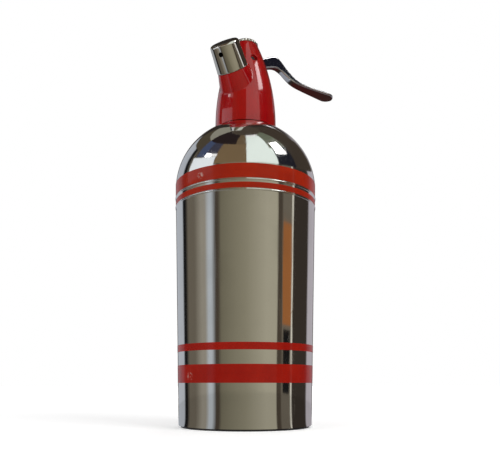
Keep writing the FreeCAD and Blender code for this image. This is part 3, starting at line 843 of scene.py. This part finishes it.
def flutes(angle, radius, height):
    """How deep a flute is cut at an angle: rounded grooves between narrow lands."""
    if radius < TOP_CAP_CROWN or height < TOP_CAP_SEAT + PLAIN_LIP:
        return 0.0
    wave = (math.cos(FLUTES * angle) + 1) / 2
    fade = min(1.0, max(0.0, (TOP_CAP_TOP - height) / FLUTE_FADE))
    return FLUTE_DEPTH * wave ** LAND_SHARPNESS * fade


def top_cap_outline():
    return rounded([
        (TOP_CAP_BORE, TOP_CAP_SEAT),
        (TOP_CAP_RADIUS, TOP_CAP_SEAT),
        (TOP_CAP_RADIUS, TOP_CAP_LIP),
        (TOP_CAP_CROWN, TOP_CAP_TOP),
        (0.0, TOP_CAP_TOP),
        (0.0, TOP_CAP_ROOF),
        (TOP_CAP_BORE, TOP_CAP_ROOF),
    ], {1: 0.3, 2: 0.5, 3: 0.4})


new_piece(
    "top_cap_knob", turned_mesh("top_cap_knob", top_cap_outline(), segments=320, flute=flutes),
    "top_cap", "chrome", cap_chrome, "top_cap")

# %% [markdown]
# The thumb lever is drawn by its two side curves: up over a hump just outside the head, then down
# in a long sweep that flattens and widens under the thumb. The mesh is a loft: rounded rectangles
# stand at close stations along X, and their height and width follow the curves.

# %% Curves of the lever
PIVOT = Vector((-2.0, 0.0, 262.5))
HUB = 4.4
ROOT_HALF = 2.6
TIP_HALF = 6.2
WIDENING_START = 34.0
LEVER_REACH = 83.0
TOP_CURVE = [
    (-0.68, 266.7), (10.0, 271.1), (20.0, 275.9), (27.4, 277.9), (34.93, 272.2),
    (42.47, 265.7), (50.0, 262.4), (66.5, 260.5), (83.0, 259.2),
]
BOTTOM_CURVE = [
    (1.3, 259.59), (11.0, 263.55), (20.0, 267.0), (27.4, 268.7), (34.93, 265.5),
    (42.47, 261.3), (50.0, 259.7), (66.5, 258.43), (83.0, 257.4),
]


def curve_through(points):
    """A smooth height over X through points: a natural cubic spline."""
    xs = np.array([point[0] for point in points])
    zs = np.array([point[1] for point in points])
    gaps = np.diff(xs)
    count = len(xs)
    system = np.eye(count)
    right = np.zeros(count)
    for row in range(1, count - 1):
        system[row, row - 1] = gaps[row - 1]
        system[row, row] = 2 * (gaps[row - 1] + gaps[row])
        system[row, row + 1] = gaps[row]
        steep = (zs[row + 1] - zs[row]) / gaps[row] - (zs[row] - zs[row - 1]) / gaps[row - 1]
        right[row] = 6 * steep
    bend = np.linalg.solve(system, right)

    def height(x):
        piece = int(np.clip(np.searchsorted(xs, x) - 1, 0, count - 2))
        gap = gaps[piece]
        left = (xs[piece + 1] - x) / gap
        ahead = (x - xs[piece]) / gap
        curl = (left ** 3 - left) * bend[piece] + (ahead ** 3 - ahead) * bend[piece + 1]
        curl = curl * gap ** 2 / 6
        return left * zs[piece] + ahead * zs[piece + 1] + curl

    return height


top_height = curve_through(TOP_CURVE)
bottom_height = curve_through(BOTTOM_CURVE)


def lever_section(x):
    """Top, bottom and half width of the lever at a station."""
    inside = max(0.0, HUB ** 2 - (x - PIVOT.x) ** 2)
    top = PIVOT.z + math.sqrt(inside) if x < TOP_CURVE[0][0] else top_height(x)
    bottom = PIVOT.z - math.sqrt(inside) if x < BOTTOM_CURVE[0][0] else bottom_height(x)
    share = max(0.0, (x - WIDENING_START) / (LEVER_REACH - TIP_HALF - WIDENING_START))
    half = ROOT_HALF + (TIP_HALF - ROOT_HALF) * min(1.0, share)
    over = x - (LEVER_REACH - TIP_HALF)
    if over > 0:
        half = math.sqrt(max(0.0, TIP_HALF ** 2 - over ** 2))
    return top, bottom, half


print("lever from", PIVOT.x - HUB, "to", LEVER_REACH, "mm")

# %% Loft the lever
CORNER = 0.9
CORNER_LEAST = 0.02
CORNER_SHARE = 0.45
CORNER_STEPS = 5
CORNER_SUPPORT = 0.1
STATIONS = 150
END_INSET = 0.02


def lever_ring(x):
    """One rounded rectangle across the lever, with a support point at each end of a corner."""
    top, bottom, half = lever_section(x)
    corner = max(CORNER_LEAST, min(CORNER, CORNER_SHARE * (top - bottom), CORNER_SHARE * half * 2))
    middles = [
        (half - corner, top - corner, 0), (-half + corner, top - corner, 90),
        (-half + corner, bottom + corner, 180), (half - corner, bottom + corner, 270),
    ]
    points = []
    support = CORNER_SUPPORT * corner
    for y, z, start in middles:
        for step in range(-1, CORNER_STEPS + 2):
            turn = start + 90 * min(max(step, 0), CORNER_STEPS) / CORNER_STEPS
            across = math.cos(math.radians(turn))
            up = math.sin(math.radians(turn))
            slide = support * (1 if step > CORNER_STEPS else -1 if step < 0 else 0)
            beside = y + corner * across - slide * up
            above = z + corner * up + slide * across
            points.append(Vector((x, beside, above)))
    return points


def lever_mesh():
    """The loft, with its stations closer together towards both ends."""
    shaped = bmesh.new()
    low = PIVOT.x - HUB + END_INSET
    high = LEVER_REACH - END_INSET
    rings = []
    for station in range(STATIONS + 1):
        share = (1 - math.cos(math.pi * station / STATIONS)) / 2
        even = station / STATIONS
        x = low + (high - low) * (0.5 * share + 0.5 * even)
        rings.append([shaped.verts.new(point * MM) for point in lever_ring(x)])
    count = len(rings[0])
    for first, second in zip(rings, rings[1:]):
        for number in range(count):
            other = (number + 1) % count
            shaped.faces.new((first[number], first[other], second[other], second[number]))
    shaped.faces.new(rings[0])
    shaped.faces.new(list(reversed(rings[-1])))
    bmesh.ops.recalc_face_normals(shaped, faces=shaped.faces)
    mesh = settled("thumb_lever", shaped)
    smooth_shaded(mesh)
    return mesh


# %% [markdown]
# Inside the slot the lever has a heel whose rounded nose presses the stem, and a hole for its pin.
# The heel is a flat block from the same numbers as the CAD, joined on by a Boolean, and the hole
# is drilled with the same helper as the jet.

# %% Join the heel and drill for the pin
NOSE = Vector((3.5, 0.0, 258.6))
NOSE_RADIUS = 1.6
NOSE_TURN = 105
NOSE_STEPS = 8
HEEL_DEPTH = 0.95 * HUB
HEEL_INSET = 0.02
PIN_HOLE = 1.86
PIN_DRILL = Vector((0.0, 10.0, 0.0))


def heel_mesh():
    """The flat block below the hub, with its rounded nose."""
    outline = [PIVOT.xz, Vector((PIVOT.x, PIVOT.z - HEEL_DEPTH))]
    outline += [Vector(point) for point in arc(NOSE.xz, NOSE_RADIUS, -NOSE_TURN, 0, NOSE_STEPS)]
    outline.append(Vector((NOSE.x + NOSE_RADIUS, PIVOT.z + NOSE_RADIUS)))
    shaped = bmesh.new()
    half = ROOT_HALF - HEEL_INSET
    near = [shaped.verts.new(Vector((point.x, -half, point.y)) * MM) for point in outline]
    far = [shaped.verts.new(Vector((point.x, half, point.y)) * MM) for point in outline]
    shaped.faces.new(near)
    shaped.faces.new(list(reversed(far)))
    count = len(outline)
    for number in range(count):
        other = (number + 1) % count
        shaped.faces.new((near[number], far[number], far[other], near[other]))
    bmesh.ops.recalc_face_normals(shaped, faces=shaped.faces)
    return settled("heel", shaped)


lever = combined(lever_mesh(), heel_mesh(), "UNION")
lever = drilled(lever, PIN_HOLE * MM, (PIVOT - PIN_DRILL) * MM, (PIVOT + PIN_DRILL) * MM)
new_piece("thumb_lever", lever, "lever_arm", "chrome", lever_chrome, "lever")

# %% [markdown]
# The small parts inside keep their CAD shapes. Each gets the finish that its record slot names,
# except the lever's pin: it is painted near black, as painted shade for the dark spot of its hole.

# %% Dress the CAD nodes that stay
INSIDE = {
    "plain_steel": ["bottle_bottom", "lever_pin", "valve_spring", "valve_stem", "washer_nut",
                    "stem_button"],
    "brass": ["neck_ring", "coupling_insert", "valve_body", "tube_nut", "stem_gland", "top_plug",
              "spout_nose", "flow_disc"],
    "black_rubber": ["neck_gasket", "gland_ring", "valve_washer", "spout_washer"],
    "white_plastic": ["dip_tube", "tube_strainer"],
}
for slot, names in INSIDE.items():
    for name in names:
        node = NODES[name]
        node.data.materials.clear()
        node.data.materials.append(INSIDE_FINISHES[slot])
# Painted shade: the pin is made near black so that its hole shows as a dark spot.
NODES["lever_pin"].data.materials[0] = pin_hole_shade_steel
print(sum(len(names) for names in INSIDE.values()), "CAD nodes dressed")

# %% [markdown]
# Polished metal shows the room rather than itself, so a photographer hangs cards round it. Here a
# curved screen stands close round the bottle and comes in over the floor to its foot, which gives
# the wall its long upright stripes. Patches of a wide vault above give the dome its windows and
# its shade. Only reflections see them: they cast no light or shadow on floor or paint.
# On the floor the screen becomes a skirt. A mirror turns a bearing into about half of it, so the
# skirt's inner edge is squeezed by that share, and the stripes then run straight down to the foot.

# %% The screen round the bottle
SCREEN_REACH = 0.30
SCREEN_TOP = 0.30
LEFT_TOP = 0.45
LEFT_START = -98
SKIRT_REACH = 0.0425
SKIRT_SHARE = 0.51
SKIRT_TURN = 120
SKIRT_LIFT = 0.0006
SKIRT_DIMMING = 0.85
CARD_COLOURS = {
    "pale_blue": (0.46, 0.49, 0.54),
    "black": (0.010, 0.010, 0.010),
    "umber": (0.150, 0.130, 0.100),
    "putty": (0.310, 0.285, 0.235),
    "sky": (0.480, 0.520, 0.560),
    "brown": (0.068, 0.054, 0.040),
    "dark_olive": (0.170, 0.155, 0.108),
    "olive": (0.270, 0.250, 0.180),
    "light_olive": (0.400, 0.375, 0.285),
    "wood": (0.330, 0.125, 0.040),
    "cream": (0.700, 0.670, 0.580),
    "night": (0.040, 0.032, 0.026),
    "mauve": (0.470, 0.440, 0.480),
    "ember": (0.060, 0.015, 0.013),
}
STRIPES = [
    (-180, "ember"), (-172, "ember"), (-158, "night"), (-152, "night"),
    (-148, "pale_blue"), (-117, "pale_blue"), (-113, "black"), (-106, "black"),
    (-99, "umber"), (-84, "umber"), (-70, "putty"), (-63, "putty"),
    (-57, "sky"), (-52, "sky"), (-45, "brown"), (-41, "brown"),
    (-36, "dark_olive"), (0, "olive"), (32, "light_olive"), (48, "light_olive"),
    (50, "brown"), (56, "brown"), (58, "umber"), (74, "umber"),
    (75, "cream"), (77, "cream"), (78, "night"), (114, "night"),
    (119, "mauve"), (148, "mauve"), (152, "night"), (156, "night"),
    (168, "ember"), (180, "ember"),
]


def stripe_colour(bearing):
    """The screen's colour at a bearing from the camera, blended between neighbouring stripes."""
    bearings = [stripe[0] for stripe in STRIPES]
    colours = np.array([CARD_COLOURS[stripe[1]] for stripe in STRIPES])
    return [float(np.interp(bearing, bearings, colours[:, part])) for part in range(3)]


def glowing(name):
    """A material that shows the colours that are written on a mesh."""
    material = bpy.data.materials.new(name)
    material.use_nodes = True
    material.node_tree.nodes.clear()
    recipe = Recipe(material.node_tree)
    colour = recipe.node("ShaderNodeAttribute", out="Color", attribute_name="glow")
    light = recipe.node("ShaderNodeEmission", {"Color": colour, "Strength": 1.0})
    recipe.node("ShaderNodeOutputMaterial", {"Surface": light})
    return material


GLOW = glowing("card_glow")


def hang(name, columns):
    """A card for reflections alone, from columns of (place, colour) points."""
    shaped = bmesh.new()
    grid = [[shaped.verts.new(place) for place, colour in column] for column in columns]
    for first, second in zip(grid, grid[1:]):
        for row in range(len(first) - 1):
            shaped.faces.new((first[row], second[row], second[row + 1], first[row + 1]))
    mesh = settled(name, shaped)
    paint = mesh.attributes.new("glow", "FLOAT_COLOR", "POINT")
    colours = [(*colour, 1.0) for column in columns for place, colour in column]
    paint.data.foreach_set("color", np.array(colours, dtype=np.float32).ravel())
    mesh.materials.append(GLOW)
    piece = added(name, mesh)
    for ray in ("camera", "diffuse", "shadow", "transmission"):
        setattr(piece, "visible_" + ray, False)


def around(reach, bearing, height):
    """A place at a distance from the axis, at a bearing from the camera's side."""
    turn = math.radians(CAMERA_BEARING + bearing)
    return (reach * math.cos(turn), reach * math.sin(turn), height)


def foot_bearing(bearing):
    """The bearing at the skirt's inner edge. It catches up behind the bottle, to close the ring."""
    squeezed = np.interp(
        abs(bearing), (0, SKIRT_TURN, 180), (0, SKIRT_TURN * SKIRT_SHARE, 180))
    return math.copysign(squeezed, bearing)


screen = []
for bearing in range(-180, 181):
    colour = stripe_colour(bearing)
    near_floor = [part * SKIRT_DIMMING for part in colour]
    top = LEFT_TOP if bearing < LEFT_START else SCREEN_TOP
    screen.append([
        (around(SKIRT_REACH, foot_bearing(bearing), SKIRT_LIFT), near_floor),
        (around(SCREEN_REACH, bearing, SKIRT_LIFT), near_floor),
        (around(SCREEN_REACH, bearing, SKIRT_LIFT * 2), colour),
        (around(SCREEN_REACH, bearing, top), colour),
    ])
hang("screen", screen)
print("screen of", len(STRIPES), "stripes")

# %% Patches of the vault and small cards
VAULT_REACH = 0.90
VAULT_MIDDLE = 0.17
GLARE_REACH = 0.86
CARD_GAP = 0.004
DAYLIGHT = (0.900, 1.000, 0.950)
PALE_DAYLIGHT = (0.900, 0.950, 1.000)
GLARE = (7.0, 7.0, 7.0)
VAULT_PATCHES = [
    ("pale_left", (-182, -148), (20, 40), (0.40, 0.42, 0.43)),
    ("brown_left", (-148, -98), (20, 57), (0.075, 0.060, 0.040)),
    ("grey_left", (-148, -98), (57, 77), (0.270, 0.260, 0.210)),
    ("night_left", (-98, -52), (20, 37), (0.030, 0.022, 0.020)),
    ("lamp_left", (-76, -64), (37, 41), (5.0, 5.0, 5.0)),
    ("blue_left", (-98, -76), (37, 57), (0.060, 0.080, 0.150)),
    ("dusk_left", (-76, -52), (41, 57), (0.050, 0.050, 0.075)),
    ("shade_left", (-98, -22), (57, 77), (0.022, 0.015, 0.015)),
    ("tan", (-52, 2), (20, 57), (0.190, 0.130, 0.070)),
    ("tan_high", (-22, 2), (57, 77), (0.150, 0.105, 0.060)),
    ("window", (2, 50), (20, 74), DAYLIGHT),
    ("window_side", (50, 92), (50, 64), (0.180, 0.190, 0.150)),
    ("window_top", (50, 92), (64, 77), (0.150, 0.170, 0.120)),
    ("window_low", (50, 55), (20, 50), DAYLIGHT),
    ("night_right", (55, 92), (20, 50), (0.014, 0.014, 0.022)),
    ("dark_right", (92, 150), (20, 77), (0.055, 0.042, 0.032)),
    ("mauve_right", (150, 178), (20, 40), (0.300, 0.280, 0.290)),
    ("back", (150, 212), (40, 77), (0.030, 0.025, 0.022)),
    ("top", (-180, 180), (77, 90), (0.070, 0.055, 0.042)),
]


def vault_place(reach, bearing, rise):
    """A place on the vault, or on a closer copy of it, from angles in degrees."""
    tilt = math.radians(rise)
    return around(reach * math.cos(tilt), bearing, VAULT_MIDDLE + reach * math.sin(tilt))


def vault_patch(name, bearings, rises, colour):
    """A patch of the vault between two bearings and two angles above the horizon."""
    steps = max(2, int(abs(bearings[1] - bearings[0]) / 4))
    hang(name, [
        [(vault_place(VAULT_REACH, bearing, rise), colour) for rise in np.linspace(*rises, 7)]
        for bearing in np.linspace(*bearings, steps + 1)
    ])


def upright_card(name, bearings, heights, colour):
    """A card just inside the screen."""
    hang(name, [
        [(around(SCREEN_REACH - CARD_GAP, bearing, height), colour) for height in heights]
        for bearing in np.linspace(*bearings, 9)
    ])


for name, bearings, rises, colour in VAULT_PATCHES:
    vault_patch("vault_" + name, bearings, rises, colour)
upright_card("card_window_left", (-98, -50), (0.240, 0.372), PALE_DAYLIGHT)
upright_card("card_wood", (58, 74), (0.075, 0.185), CARD_COLOURS["wood"])
upright_card("card_low_right", (60, 72), (0.002, 0.070), CARD_COLOURS["black"])
hang("window_glare", [
    [(vault_place(GLARE_REACH, bearing, rise), GLARE) for rise in (41.5, 50, 58)]
    for bearing in np.linspace(58, 80, 8)
])
print("vault patches and cards hung")

# %% [markdown]
# The floor is plain and pale. A little of its own light, which only the camera and reflections
# see, lifts it to white without adding light to the siphon, and its soft shadow stays.

# %% Floor, sky and lamps
AMBIENT = 0.5
FLOOR_HALF = 6.0
NEAR_GLOW = 0.35
WHITENS = (0.25, 0.9)
WHITE = (1.0, 1.0, 1.0, 1.0)
AIM = Vector((0, 0, 0.15))


def seen_directly(recipe):
    """1 for rays from the camera and for reflected or refracted ones, and 0 for lighting."""
    path = recipe.tree.nodes.new("ShaderNodeLightPath")
    seen = Value(recipe, path.outputs["Is Camera Ray"])
    for ray in ("Is Glossy Ray", "Is Transmission Ray"):
        seen = seen + Value(recipe, path.outputs[ray])
    return seen.maths("MINIMUM", 1.0)


shaped = bmesh.new()
bmesh.ops.create_grid(shaped, x_segments=8, y_segments=8, size=FLOOR_HALF)
floor = added("floor", settled("floor", shaped))
floor_material, recipe, place = new_finish("pale_floor")
direct = seen_directly(recipe)
grain = recipe.noise(place, 30.0)
matt = recipe.node("ShaderNodeBsdfDiffuse", {
    "Color": recipe.mixed(grain, (0.86, 0.86, 0.86, 1.0), (0.88, 0.88, 0.88, 1.0))})
away = recipe.node("ShaderNodeVectorMath", {0: place}, out="Value", operation="LENGTH")
glow = recipe.node("ShaderNodeEmission", {
    "Color": WHITE, "Strength": direct * (NEAR_GLOW + away.between(*WHITENS) * (1 - NEAR_GLOW))})
lifted = recipe.node("ShaderNodeAddShader", {0: matt, 1: glow})
recipe.node("ShaderNodeOutputMaterial", {"Surface": lifted})
floor.data.materials.append(floor_material)

world = bpy.data.worlds.new("studio")
bpy.context.scene.world = world
world.use_nodes = True
world.node_tree.nodes.clear()
recipe = Recipe(world.node_tree)
direct = seen_directly(recipe)
sky = recipe.node("ShaderNodeBackground", {
    "Color": WHITE, "Strength": AMBIENT + direct * (1 - AMBIENT)})
recipe.node("ShaderNodeOutputWorld", {"Surface": sky})


def lamp(name, bearing, reach, height, size, power):
    """A soft square lamp that looks at the middle of the siphon."""
    data = bpy.data.lights.new(name, "AREA")
    data.energy = power
    data.shape = "SQUARE"
    data.size = size
    item = added(name, data)
    item.location = around(reach, bearing, height)
    item.rotation_euler = (AIM - item.location).to_track_quat("-Z", "Y").to_euler()
    item.visible_glossy = False


lamp("key_lamp", bearing=48, reach=0.9, height=0.85, size=0.6, power=5.0)
lamp("fill_lamp", bearing=-60, reach=1.0, height=0.6, size=0.8, power=2.5)
lamp("back_lamp", bearing=165, reach=1.0, height=0.9, size=0.6, power=2.5)
print("floor, sky and three lamps")
